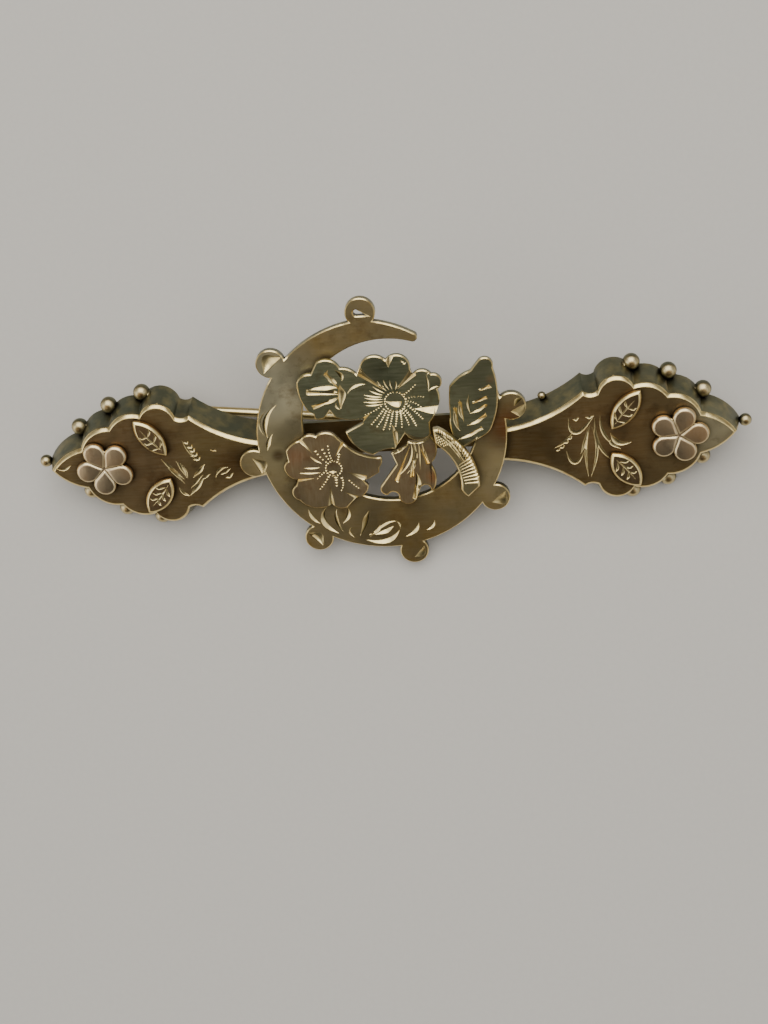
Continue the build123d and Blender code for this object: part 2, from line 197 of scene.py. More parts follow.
def turned_areas(tree, facing):
    """The walls, and the edges between a front face and its walls that wear rubs first.

    Both come from how squarely the surface faces the front: 1 is a front face and 0 a wall.
    """
    walls = add(tree, "ShaderNodeMapRange", {"Value": facing, "From Min": 0.66, "From Max": 0.3})
    past_wall = add(
        tree, "ShaderNodeMapRange", {"Value": facing, "From Min": 0.45, "From Max": 0.62}
    )
    short_of_face = add(
        tree, "ShaderNodeMapRange", {"Value": facing, "From Min": 0.97, "From Max": 0.88}
    )
    edges = add(
        tree,
        "ShaderNodeMath",
        {0: past_wall.outputs["Result"], 1: short_of_face.outputs["Result"]},
        operation="MULTIPLY",
    )
    return walls.outputs["Result"], edges.outputs["Value"]


def aged_gold(
    name, bright, dull, stain, roughness, brushed, patina_and_reflection=0.82, rub=0.6, brush=0.1, patches=()
):
    """Rolled gold worn for a century.

    Fine scratches all one way give the eye a brushed glow and no mirror. Edges are rubbed pale,
    and corners are darkened, partly with old dirt and partly with painted shade. Handling has
    clouded it and left small brown stains. The walls, which nothing rubs, keep a grey-green tone
    that is partly patina and partly a painted dark reflection.
    """
    material, tree = bare_material(name)
    coordinates = add(tree, "ShaderNodeTexCoord")
    point = drawn_point(tree, coordinates.outputs["Object"])
    facing = add(
        tree,
        "ShaderNodeVectorMath",
        {0: coordinates.outputs["Normal"], 1: FRONT},
        operation="DOT_PRODUCT",
    )
    walls, edges = turned_areas(tree, facing.outputs["Value"])
    clouds, _ = patchy(tree, point, size=2.6, detail=5, none=0.36, full=0.66)
    stains, _ = patchy(tree, point, size=1.5, detail=6, none=0.56, full=0.72, roughness=0.62)
    mottle, _ = patchy(tree, point, size=0.9, detail=4, none=0.45, full=0.7)
    swell, _ = patchy(tree, point, size=2.2, detail=2, none=0.0, full=1.0)
    # The real scratches are 0.03 mm apart, too fine to show, so they are drawn coarser.
    worn, scratches = patchy(
        tree, point, size=0.16, detail=3, none=0.35, full=0.75, stretch=brushed
    )
    # Corners that see little open air are darkened: partly old dirt, partly painted shade.
    open_air = add(tree, "ShaderNodeAmbientOcclusion", {"Distance": DIRT_AND_SHADE_REACH}, samples=8)
    corners = add(
        tree,
        "ShaderNodeMapRange",
        {"Value": open_air.outputs["AO"], "From Min": 0.95, "From Max": 0.35},
    )
    # The walls take a grey-green tone: partly patina, partly a painted dark reflection.
    patina_and_reflection_tone = add(
        tree,
        "ShaderNodeMix",
        {FACTOR: mottle, FIRST: linear(PATINA_AND_REFLECTION_GREY), SECOND: linear(PATINA_AND_REFLECTION_OLIVE)},
        data_type="RGBA",
    )
    layers = [
        (near(tree, point, u, v, radius), share, linear(tint))
        for u, v, radius, tint, share in patches
    ]
    layers += [
        (worn, brush, linear(SCRATCHED_PALE)),
        (stains, STAIN_SHARE, linear(stain)),
        (walls, patina_and_reflection, patina_and_reflection_tone.outputs[MIXED]),
        (edges, rub, linear(RUBBED_PALE)),
        (corners.outputs["Result"], DIRT_AND_SHADE_SHARE, linear(OLD_DIRT_AND_PAINTED_SHADE)),
    ]
    colour = add(
        tree,
        "ShaderNodeMix",
        {FACTOR: clouds, FIRST: linear(bright), SECOND: linear(dull)},
        data_type="RGBA",
    )
    for pattern, share, tint in layers:
        strength = add(tree, "ShaderNodeMath", {0: pattern, 1: share}, operation="MULTIPLY")
        colour = add(
            tree,
            "ShaderNodeMix",
            {FACTOR: strength.outputs["Value"], FIRST: colour.outputs[MIXED], SECOND: tint},
            data_type="RGBA",
        )
    gloss = add(
        tree,
        "ShaderNodeMapRange",
        {"Value": clouds, "To Min": roughness, "To Max": roughness + CLOUDED},
    )
    relief = add(
        tree,
        "ShaderNodeBump",
        {"Strength": 1.0, "Distance": SCRATCH_DEPTH * brush * MM, "Height": scratches},
    )
    relief = add(
        tree,
        "ShaderNodeBump",
        {
            "Strength": 1.0,
            "Distance": SWELL_DEPTH,
            "Height": swell,
            "Normal": relief.outputs["Normal"],
        },
    )
    shader = add(
        tree,
        "ShaderNodeBsdfPrincipled",
        {
            "Base Color": colour.outputs[MIXED],
            "Metallic": 1.0,
            "Roughness": gloss.outputs["Result"],
            "Normal": relief.outputs["Normal"],
        },
    )
    add(tree, "ShaderNodeOutputMaterial", {"Surface": shader.outputs["BSDF"]})
    return material


def bright_cut_gold(name, bright, dull):
    """Gold fresh from a polished graver.

    Its clean facets catch the light as pale sparks, a little dimmed by age.
    """
    material, tree = bare_material(name)
    coordinates = add(tree, "ShaderNodeTexCoord")
    point = drawn_point(tree, coordinates.outputs["Object"])
    clouds, _ = patchy(tree, point, size=0.6, detail=3, none=0.45, full=0.8)
    colour = add(
        tree,
        "ShaderNodeMix",
        {FACTOR: clouds, FIRST: linear(bright), SECOND: linear(dull)},
        data_type="RGBA",
    )
    shader = add(
        tree,
        "ShaderNodeBsdfPrincipled",
        {"Base Color": colour.outputs[MIXED], "Metallic": 1.0, "Roughness": 0.3},
    )
    add(tree, "ShaderNodeOutputMaterial", {"Surface": shader.outputs["BSDF"]})
    return material


# The golds of this pin: each material's name, its bright and its clouded tone, its stains, its
# roughness and the way that it is brushed. Its patches are places on the front that take another
# tone, each with u, v, radius, tone and share; the pale ones on the crescent's left are a painted
# reflection.
AGED_GOLDS = {
    # Much handled sheet: straw pale and clouded on the left, a painted reflection, and warm
    # brown beside the leaf.
    "crescent_gold": {
        "name": "aged_yellow_rolled_gold_crescent",
        "bright": "d8c08a",
        "dull": "a98c55",
        "stain": "8a6a3a",
        "roughness": 0.34,
        "brushed": ALONG,
        "patches": (
            # These first two pale straw patches on the left are a painted reflection.
            (-8.0, 5.6, 5.2, "e6dcb4", 0.85),
            (-7.6, 0.6, 3.6, "d9c893", 0.7),
            (-7.9, 0.5, 0.7, "5c3f1c", 0.8),
            (9.0, 1.6, 2.6, "8c4f22", 0.8),
            (8.0, -2.0, 3.4, "e2cc94", 0.7),
            (0.6, -6.2, 4.5, "93763f", 0.5),
        ),
    },
    # The ends lie lower and were cleaned less, so they are browner, and pale only at one tip.
    "yellow_gold": {
        "name": "aged_yellow_rolled_gold",
        "bright": "b89a68",
        "dull": "7c643c",
        "stain": "6d4d2a",
        "roughness": 0.34,
        "brushed": ALONG,
        "patches": (
            (-19.0, 0.5, 5.5, "8a6c4c", 0.55),
            (-12.6, 0.6, 3.4, "9a8450", 0.5),
            (-11.6, -0.2, 2.2, "6e4a20", 0.7),
            (10.6, 0.0, 4.0, "7f6338", 0.7),
            (16.0, 0.4, 4.6, "b08a58", 0.7),
            (23.0, 0.5, 3.4, "efe0b0", 0.85),
            (-22.0, -1.5, 3.0, "6d6040", 0.5),
        ),
    },
    # The stem stands highest and is rubbed all over, paler and smoother than the sheets.
    "stem_gold": {
        "name": "rubbed_gold_stem",
        "bright": "e2d3a0",
        "dull": "b8a36c",
        "stain": "8a6a3a",
        "roughness": 0.3,
        "brushed": ACROSS,
        "patina_and_reflection": 0.3,
        "rub": 0.15,
    },
    # Gold with copper in it: a pinkish beige, with warm spots where the copper comes through.
    "rose_gold": {
        "name": "aged_rose_gold_sheet",
        "bright": "c9b084",
        "dull": "a2875f",
        "stain": "946a48",
        "roughness": 0.34,
        "brushed": ACROSS,
        "patina_and_reflection": 0.5,
        "brush": 0.16,
        "patches": (
            (3.2, -1.7, 0.9, "d98c4c", 0.85),
            (2.0, -2.6, 0.6, "e0c08a", 0.6),
            (-6.6, 0.6, 1.4, "b98560", 0.6),
            (-2.2, -1.9, 1.6, "d8c49a", 0.5),
        ),
    },
    # The small flowers are domed and rubbed clean, a soft bright peach.
    "applied_gold": {
        "name": "applied_rose_gold",
        "bright": "f0d4a8",
        "dull": "cea87a",
        "stain": "a67c56",
        "roughness": 0.3,
        "brushed": ACROSS,
        "patina_and_reflection": 0.15,
    },
    # The small leaves are flatter and browner than the flowers, so that their veins show.
    "leaf_gold": {
        "name": "applied_rose_gold_leaf",
        "bright": "b2946a",
        "dull": "8c6e4a",
        "stain": "7a5638",
        "roughness": 0.3,
        "brushed": ACROSS,
        "patina_and_reflection": 0.15,
    },
    # Gold with silver in it: sage grey, with the brush's streaks plain to see.
    "green_gold": {
        "name": "aged_green_gold_sheet",
        "bright": "aeac82",
        "dull": "7e7f5d",
        "stain": "7d6a40",
        "roughness": 0.33,
        "brushed": ALONG,
        "patina_and_reflection": 0.5,
        "brush": 0.22,
        "patches": (
            (0.6, 7.0, 2.4, "717b5c", 0.8),
            (-4.6, 6.4, 2.2, "858f72", 0.6),
            (3.7, 5.9, 1.0, "8a6a3c", 0.7),
            (7.75, 5.6, 0.7, "d27c3a", 0.9),
            (0.0, 1.6, 2.2, "a5a27a", 0.5),
        ),
    },
    # Gilt wire and strip, drawn smooth and hidden behind: yellower, glossier and less worn.
    "pin_metal": {
        "name": "worn_gilt_wire",
        "bright": "f0dca0",
        "dull": "c9ab68",
        "stain": "7b6138",
        "roughness": 0.26,
        "brushed": ALONG,
        "patina_and_reflection": 0.25,
    },
}

FINISHES = {}


def finish_of(kind):
    """The material of a kind of gold, made the first time that a piece asks for it."""
    if kind not in FINISHES:
        if kind == "bright_cut":
            FINISHES[kind] = bright_cut_gold("bright_cut_gold", "f3dc9c", "cfae6c")
        else:
            FINISHES[kind] = aged_gold(**AGED_GOLDS[kind])
    return FINISHES[kind]


Stroke = namedtuple("Stroke", "start bend end width heel side fall slope steep")

# A heel past the end of its cut leaves the cut equally wide all the way.
EVEN = 9.0

# How wide a cut's ends are, as a share of its full width, and how long they stay slender.
POINTED = 0.06
SLENDER = 1.2

# Cuts longer than this many millimetres bend, and get a blade with more stations.
LONG_CUT = 0.5
LONG_STATIONS, SHORT_STATIONS = 9, 3

# How far a blade stands over the surface that it cuts, as a share of its depth and width.
OVER = 0.6

# How far from a cut's keel its blade reaches, as a share of its width, and the room that it
# leaves to the next one in the same round.
BLADE_REACH = 1.7
APART = 0.02


def stroke(start, bend, end, width, heel=0.5, side=0, fall=0.0, slope=28.0, steep=0.14):
    """One cut of the graver, whose keel runs from start through bend to end, in millimetres.

    Its wide facet slopes by slope degrees, on the hand of the keel that side gives (0 is the
    lower one), and its other side is that steep share of its width. It is widest at the heel's
    share of its way, and its ends lie lower than its middle by the fall.
    """
    return Stroke(Vector(start), Vector(bend), Vector(end), width, heel, side, fall, slope, steep)


def line(start, end, width, heel=0.5, **ways):
    """A straight cut."""
    return stroke(start, (Vector(start) + Vector(end)) / 2, end, width, heel, **ways)


def on_path(cut, share):
    """The point and the direction on a cut's curve at a share of its way."""
    control = 2 * cut.bend - (cut.start + cut.end) / 2
    rest = 1 - share
    point = rest * rest * cut.start + 2 * rest * share * control + share * share * cut.end
    ahead = rest * (control - cut.start) + share * (cut.end - control)
    return point, ahead.normalized()


def ladder(start, bend, end, rungs, length, width):
    """Short cuts across a curved line, each a little shorter, as a rocked graver leaves."""
    narrowing = 0.35
    path = stroke(start, bend, end, 0.0)
    cuts = []
    for rung in range(rungs):
        share = rung / (rungs - 1)
        point, ahead = on_path(path, share)
        aside = Vector((-ahead.y, ahead.x)) * length / 2 * (1 - narrowing * share)
        cuts.append(line(point - aside, point + aside, width))
    return cuts


def ticks(centre, radius, reach, count, width):
    """A ring of short cuts that point at its centre."""
    cuts = []
    for tick in range(count):
        angle = math.radians(360.0 * tick / count)
        out = Vector((math.cos(angle), math.sin(angle)))
        start = Vector(centre) + out * radius
        cuts.append(line(start, Vector(centre) + out * (radius + reach), width))
    return cuts


def fullness(share, heel):
    """How wide the graver's cut is there, from a hair at its ends to full at its heel."""
    if heel == EVEN:
        return 1.0
    if share < heel:
        rise = share / heel
    elif heel < 1.0:
        rise = (1.0 - share) / (1.0 - heel)
    else:
        rise = 1.0
    return POINTED + (1.0 - POINTED) * math.sin(rise * math.pi / 2) ** SLENDER


def blade_template(stations):
    """A straight three-sided bar along z, with its rails divided, to bend into one cut."""
    bm = bmesh.new()
    bmesh.ops.create_cone(
        bm, cap_ends=True, cap_tris=False, segments=3, radius1=1.0, radius2=1.0, depth=1.0
    )
    half_bar = 0.5
    rails = [
        edge for edge in bm.edges if abs(edge.verts[0].co.z - edge.verts[1].co.z) > half_bar
    ]
    bmesh.ops.subdivide_edges(bm, edges=rails, cuts=stations, use_grid_fill=False)
    mesh = bpy.data.meshes.new("blade_template")
    bm.to_mesh(mesh)
    bm.free()
    return mesh


def bent(vert, cut, hand, level):
    """Where a corner of the straight bar goes in a cut's blade."""
    share = vert.co.z + 0.5
    point, ahead = on_path(cut, share)
    width = cut.width * fullness(share, cut.heel)
    depth = width * math.tan(math.radians(cut.slope))
    # The bar's rails stand 120 degrees apart: the keel, the wide facet's top and the steep one's.
    rail = round(math.degrees(math.atan2(vert.co.y, vert.co.x)) / 120) % 3
    out, height = (
        (0.0, -depth),
        (width * (1 + OVER), depth * OVER),
        (-cut.steep * width * (1 + OVER), depth * OVER),
    )[rail]
    flat = point + Vector((-ahead.y, ahead.x)) * hand * out
    drop = cut.fall * abs(2 * share - 1) ** 3
    return Vector((flat.x, flat.y, level + height - drop))


def cutter_of(cuts, level):
    """A mesh of every cut's blade: a wide facet below the keel that looks up, and a steep wall."""
    bm = bmesh.new()
    long_blade, short_blade = blade_template(LONG_STATIONS), blade_template(SHORT_STATIONS)
    for cut in cuts:
        is_long = (cut.end - cut.start).length > LONG_CUT
        hand = cut.side or (-1 if cut.end.x > cut.start.x else 1)
        first = len(bm.verts)
        bm.from_mesh(long_blade if is_long else short_blade)
        bm.verts.ensure_lookup_table()
        for vert in bm.verts[first:]:
            vert.co = bent(vert, cut, hand, level)
    bm.normal_update()
    bmesh.ops.recalc_face_normals(bm, faces=bm.faces)
    bmesh.ops.triangulate(bm, faces=bm.faces)
    mesh = bpy.data.meshes.new("graver")
    bm.to_mesh(mesh)
    bm.free()
    bpy.data.meshes.remove(long_blade)
    bpy.data.meshes.remove(short_blade)
    return mesh


# Corners nearer than this many millimetres are one, and faces that meet at less than this angle
# in radians are one flat face.
SAME_CORNER = 0.0002
SAME_PLANE = 0.004


def copy_of(node):
    """The node's mesh in the brooch's millimetres, with its loose triangles merged."""
    bm = bmesh.new()
    bm.from_mesh(frame["nodes"][node].data)
    bmesh.ops.transform(bm, matrix=TO_DRAWN, verts=bm.verts)
    bmesh.ops.remove_doubles(bm, verts=bm.verts, dist=SAME_CORNER)
    bmesh.ops.dissolve_limit(
        bm,
        angle_limit=SAME_PLANE,
        use_dissolve_boundaries=False,
        verts=bm.verts,
        edges=bm.edges,
    )
    bm.normal_update()
    return bm


def front_rim(bm, level):
    """The edges between a front face at this height and the side walls."""
    on_face, steepest_face, flattest_wall = 0.002, 0.95, 0.25
    rim = []
    for edge in bm.edges:
        if len(edge.link_faces) != 2:
            continue
        if any(abs(vert.co.z - level) > on_face for vert in edge.verts):
            continue
        lifts = sorted(face.normal.z for face in edge.link_faces)
        if abs(lifts[0]) < flattest_wall and lifts[1] > steepest_face:
            rim.append(edge)
    return rim


# Corners sharper than this many degrees are worn round.
SHARP = 25


def corners_above(bm, lowest):
    """The sharp outer corners above a height."""
    found = []
    for edge in bm.edges:
        if len(edge.link_faces) != 2 or not edge.is_convex:
            continue
        if min(vert.co.z for vert in edge.verts) <= lowest:
            continue
        if math.degrees(edge.calc_face_angle()) > SHARP:
            found.append(edge)
    return found


def rounded(bm, edges, width, segments):
    """Wears those edges round."""
    bmesh.ops.bevel(
        bm,
        geom=edges,
        offset=width,
        offset_type="OFFSET",
        affect="EDGES",
        segments=segments,
        profile=0.5,
        material=-1,
        clamp_overlap=False,
        loop_slide=False,
    )


def levelled(bm, level):
    """Puts the corners of the front face back on its plane, where a rim runs out into a cut."""
    flat, least_area, furthest = 0.97, 0.5, 0.15
    for face in bm.faces:
        if face.normal.z > flat and face.calc_area() > least_area:
            for vert in face.verts:
                if abs(vert.co.z - level) < furthest:
                    vert.co.z = level
    bm.normal_update()


def open_edges(mesh):
    """How many edges of a mesh don't have two faces."""
    bm = bmesh.new()
    bm.from_mesh(mesh)
    count = sum(1 for edge in bm.edges if len(edge.link_faces) != 2)
    bm.free()
    return count


def brighten(mesh, level):
    """Gives the sloping facets just under a front face the polish of the graver."""
    steepest, flattest = 0.3, 0.995
    deepest, shallowest = 0.4, 0.003
    for face in mesh.polygons:
        sloping = steepest < face.normal.z < flattest
        under = level - deepest < face.center.z < level - shallowest
        face.material_index = int(sloping and under)


def crisp_face(mesh):
    """Shades the flat front face flat, so that no cut's slope runs out over it."""
    flat = 0.9995
    for face in mesh.polygons:
        if face.normal.dot(FRONT) > flat:
            face.use_smooth = False


def apart(low, high, other_low, other_high):
    """Whether two boxes, each given by its corners, stand clear of each other."""
    return any(high[way] < other_low[way] or low[way] > other_high[way] for way in (0, 1))


def rounds_of(cuts):
    """The cuts shared out so that no two in one round touch, because those would tear the face."""
    rounds = []
    for cut in cuts:
        spread = cut.width * BLADE_REACH + APART
        points = [on_path(cut, step / 4)[0] for step in range(5)]
        low = Vector((min(p.x for p in points) - spread, min(p.y for p in points) - spread))
        high = Vector((max(p.x for p in points) + spread, max(p.y for p in points) + spread))
        for placed in rounds:
            if all(apart(low, high, *corners) for _, *corners in placed):
                placed.append((cut, low, high))
                break
        else:
            rounds.append([(cut, low, high)])
    return [[cut for cut, _, _ in placed] for placed in rounds]


def engraved(mesh, cutters):
    """The mesh with each cutter taken out of it in turn."""
    work = bpy.data.objects.new("work", mesh)
    bpy.context.scene.collection.objects.link(work)
    tools = []
    for cutter in cutters:
        tool = bpy.data.objects.new("tool", cutter)
        bpy.context.scene.collection.objects.link(tool)
        cut = work.modifiers.new("cut", "BOOLEAN")
        cut.object = tool
        cut.operation = "DIFFERENCE"
        cut.solver = "MANIFOLD"
        tools.append(tool)
    graph = bpy.context.evaluated_depsgraph_get()
    result = bpy.data.meshes.new_from_object(work.evaluated_get(graph), depsgraph=graph)
    for thing in (work, *tools):
        bpy.data.objects.remove(thing)
    for cutter in cutters:
        bpy.data.meshes.remove(cutter)
    return result


def piece(
    node, slot, bm, cuts=(), level=0.0, soft=24.0, body="brooch", cad_cuts=False, finish=""
):
    """Turns a worked copy into the finished piece that stands for its node.

    Edges flatter than soft degrees are shaded smooth. Cuts that the node already has get the
    graver's polish where cad_cuts says so.
    """
    bmesh.ops.triangulate(bm, faces=bm.faces)
    mesh = bpy.data.meshes.new(node + "_finished")
    bm.to_mesh(mesh)
    bm.free()
    mesh.materials.append(finish_of(finish or slot))
    mesh.materials.append(finish_of("bright_cut"))
    if cuts:
        mesh = engraved(mesh, [cutter_of(part, level) for part in rounds_of(cuts)])
        mesh.name = node + "_finished"
    if cuts or cad_cuts:
        brighten(mesh, level)
    mesh.transform(TO_ROW)
    gaps = open_edges(mesh)
    if gaps:
        raise RuntimeError(f"{node}: {gaps} open edges after engraving")
    mesh.polygons.foreach_set("use_smooth", [True] * len(mesh.polygons))
    mesh.set_sharp_from_angle(angle=math.radians(soft))
    if cuts or cad_cuts:
        crisp_face(mesh)
    made = bpy.data.objects.new(node + "_finished", mesh)
    bpy.context.scene.collection.objects.link(made)
    weighted = made.modifiers.new("even_shading", "WEIGHTED_NORMAL")
    weighted.keep_sharp = True
    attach(made, body)
    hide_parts(node)
    return made


# The finest real cuts are about 0.05 mm wide, too fine to show, so they are drawn this wide.
HAIR = 0.10

# The cuts in each front face, by their places u and v and their widths, all in millimetres, as
# stroke and line take them.
LEFT_END_CUTS = [
    stroke((-14.91, 1.9), (-14.48, 1.08), (-14.0, 0.15), 0.16, side=-1),
    line((-14.81, 1.73), (-14.45, 1.79), 0.2, 0.7),
    line((-14.69, 1.32), (-14.2, 1.52), 0.24, 0.7),
    line((-14.61, 1.0), (-14.05, 1.22), 0.24, 0.7),
    line((-14.45, 0.61), (-13.92, 0.87), 0.22, 0.7),
    line((-14.32, 0.3), (-13.75, 0.51), 0.22, 0.7),
    stroke((-16.67, 0.48), (-15.92, -0.25), (-15.2, -1.25), 0.24, side=-1),
    stroke((-16.3, -0.25), (-15.75, -0.75), (-15.2, -1.6), 0.16, side=-1),
    stroke((-15.6, 0.28), (-15.18, -0.29), (-15.0, -1.13), 0.24, side=-1),
    stroke((-15.3, 0.1), (-14.95, -0.5), (-14.92, -1.2), 0.14, side=-1),
    stroke((-15.68, -1.91), (-15.35, -2.3), (-14.98, -2.64), 0.22, side=-1),
    stroke((-14.93, -2.6), (-14.5, -1.95), (-13.71, -1.21), 0.3, 0.6),
    stroke((-13.9, -1.35), (-13.6, -1.1), (-13.2, -0.93), 0.16),
    stroke((-14.8, -2.0), (-14.4, -1.5), (-13.75, -0.95), 0.16),
    stroke((-14.51, -1.16), (-14.12, -0.6), (-13.5, -0.1), 0.3, 0.6),
    stroke((-12.85, -1.25), (-12.5, -0.55), (-11.81, -0.48), 0.22),
    stroke((-12.44, -1.04), (-12.06, -0.76), (-11.64, -0.59), 0.18),
    stroke((-12.1, -1.3), (-11.83, -1.15), (-11.5, -0.95), 0.2),
    stroke((-12.95, 1.02), (-12.7, 1.03), (-12.48, 0.89), 0.14),
    stroke((-24.58, 0.21), (-24.01, 0.2), (-23.47, 0.42), 0.2),
]

RIGHT_END_CUTS = [
    stroke((13.1, 1.82), (13.62, 0.77), (14.93, 1.97), 0.26),
    line((13.4, 1.71), (13.83, 1.82), 0.2),
    line((14.28, 1.84), (14.86, 1.91), 0.2),
    stroke((12.05, -0.45), (12.68, 0.05), (13.3, 0.62), 0.2),
    line((12.16, -0.7), (12.42, -0.42), 0.16),
    line((12.42, -0.47), (12.76, -0.25), 0.16),
    line((12.75, -0.12), (13.05, 0.12), 0.16),
    line((13.0, 0.2), (13.32, 0.42), 0.16),
    stroke((14.45, 1.0), (14.28, -0.23), (13.9, -1.05), 0.22, side=-1),
    stroke((12.9, -0.75), (13.45, -1.62), (14.12, -0.9), 0.24),
    stroke((14.62, 1.25), (14.36, -0.78), (14.44, -2.9), 0.18, side=-1),
    stroke((14.73, 1.05), (14.97, -0.82), (14.6, -2.9), 0.2, side=1),
    stroke((14.95, 1.71), (15.28, -0.25), (16.17, -1.72), 0.22, side=-1),
    stroke((15.35, 1.88), (15.7, 0.44), (16.71, -0.76), 0.22),
    stroke((16.06, 0.48), (16.72, -0.18), (17.54, -0.3), 0.36, 0.4),
    stroke((16.0, 0.05), (16.23, -0.3), (16.77, -0.8), 0.24),
]

# The wide shallow scoop on each of the crescent's lugs, with almost no steep side.
SCOOP = {"slope": 11.0, "steep": 0.04}

CRESCENT_CUTS = [
    stroke((-8.5, 1.95), (-8.62, 3.35), (-7.55, 4.5), 0.34, 0.45, side=-1),
    stroke((-8.62, 0.95), (-8.6, 1.6), (-8.1, 2.25), 0.3, 0.45, side=-1),
    stroke((-8.75, 2.2), (-8.9, 3.2), (-8.3, 4.1), 0.12, side=1),
    stroke((-6.2, -4.03), (-5.89, -4.69), (-5.44, -5.27), 0.22),
    stroke((-4.85, -3.96), (-5.04, -5.02), (-4.14, -6.15), 0.34, 0.6),
    stroke((-4.1, -4.13), (-4.3, -4.98), (-3.83, -6.01), 0.24, side=1),
    stroke((-3.3, -4.0), (-3.4, -4.73), (-3.75, -5.32), 0.26, side=1),
    stroke((-3.14, -5.67), (-3.23, -6.13), (-3.02, -6.55), 0.16),
    stroke((-1.74, -4.4), (-2.02, -5.51), (-2.58, -6.45), 0.36, 0.35, side=-1),
    stroke((-1.03, -5.62), (-1.42, -6.08), (-1.92, -6.43), 0.26, 0.35),
    stroke((-1.85, -6.62), (-0.83, -5.61), (0.2, -5.39), 0.2),
    stroke((0.26, -5.45), (0.54, -5.72), (0.42, -6.05), 0.18, side=-1),
    stroke((-2.16, -6.81), (-0.74, -6.9), (0.37, -6.15), 0.34, 0.6),
    stroke((-1.46, -6.44), (-0.75, -6.1), (-0.04, -5.8), 0.3, 0.6),
    stroke((1.83, -5.59), (1.49, -6.18), (0.81, -6.73), 0.26),
    stroke((3.02, -5.48), (2.79, -5.93), (2.39, -6.27), 0.2),
    line((-8.12, 6.95), (-6.75, 8.1), 0.95, 0.5, side=1, **SCOOP),
    line((-9.85, 0.4), (-9.22, -1.0), 0.8, 0.5, side=1, **SCOOP),
    line((-6.45, -6.0), (-5.45, -7.1), 0.7, 0.5, side=1, **SCOOP),
    line((1.35, -8.5), (2.1, -7.6), 0.5, 0.5, side=-1, **SCOOP),
    line((7.35, -4.25), (8.35, -3.4), 0.8, 0.5, side=-1, **SCOOP),
    line((9.05, 2.9), (10.15, 3.45), 0.9, 0.5, side=-1, **SCOOP),
    line((9.3, 3.3), (9.9, 3.9), 0.3, 0.5, side=1),
]

# The middles of the two blossoms, which their rings of ticks stand round.
LOWER_CENTRE = (-3.93, -0.58)
UPPER_CENTRE = (0.99, 4.55)

LOWER_BLOSSOM_CUTS = [
    *ladder((-5.1, 0.9), (-4.82, 0.42), (-4.45, 0.0), 5, 0.2, HAIR),
    *ladder((-4.59, 1.0), (-4.36, 0.45), (-4.15, 0.05), 5, 0.2, HAIR),
    *ladder((-4.17, 1.25), (-4.12, 0.6), (-4.0, 0.1), 6, 0.18, HAIR),
    *ladder((-3.43, 0.55), (-3.5, 0.25), (-3.6, -0.05), 4, 0.26, HAIR),
    line((-5.56, 0.49), (-4.74, -0.14), 0.12),
    line((-6.09, -0.43), (-4.9, -0.45), HAIR),
    line((-6.5, -0.81), (-4.9, -0.86), HAIR),
    *ladder((-3.84, -1.3), (-3.83, -1.6), (-3.85, -1.95), 4, 0.32, HAIR),
    *ladder((-4.37, -1.2), (-4.7, -1.7), (-5.06, -2.15), 6, 0.2, HAIR),
    *ladder((-4.66, -0.85), (-4.9, -1.05), (-5.15, -1.3), 4, 0.16, HAIR),
    *ladder((-3.42, -1.35), (-3.36, -1.85), (-3.52, -2.35), 6, 0.2, HAIR),
    *ladder((-2.9, -1.6), (-2.6, -1.95), (-2.3, -2.25), 5, 0.16, HAIR),
    *ticks(LOWER_CENTRE, 0.5, 0.17, 17, 0.11),
    stroke((-4.3, -0.85), (-4.02, -0.8), (-3.74, -0.88), 0.22),
]

BELL_BUD_CUTS = [
    stroke((1.45, 1.91), (2.27, 1.25), (3.24, 1.61), 0.26),
    stroke((1.76, 1.25), (1.55, -0.3), (0.43, -1.71), 0.17, side=1),
    stroke((1.97, 1.23), (1.88, -0.2), (1.33, -1.37), 0.16, side=1),
    stroke((2.04, 1.15), (2.19, -0.1), (1.71, -1.23), 0.14, side=-1),
    stroke((2.32, 1.13), (2.48, 0.1), (2.3, -1.1), 0.16, side=-1),
    stroke((2.61, 1.11), (2.8, 0.3), (3.05, -0.67), 0.14),
    stroke((2.0, -1.25), (1.97, -2.0), (1.86, -2.9), 0.36, 0.7, side=1),
    line((0.4, 0.25), (1.6, 1.15), 0.22),
]

RIGHT_LEAF_CUTS = [
    line((6.87, 4.9), (7.62, 5.23), 0.2),
    line((6.36, 3.98), (7.4, 4.4), 0.2),
    line((6.17, 3.12), (7.39, 3.74), 0.2),
    line((5.9, 2.2), (7.3, 2.88), 0.2),
    line((5.22, 1.15), (7.0, 1.96), 0.2),
    line((5.55, 0.63), (6.6, 1.25), 0.2),
    stroke((6.17, 4.55), (6.14, 3.8), (6.2, 3.12), 0.17, side=-1),
    stroke((5.51, 4.26), (5.54, 3.32), (5.7, 2.62), 0.2, side=-1),
    stroke((5.14, 3.79), (5.16, 2.65), (5.38, 1.8), 0.2, side=-1),
    stroke((4.77, 2.93), (4.8, 1.93), (4.98, 1.3), 0.16, side=-1),
]

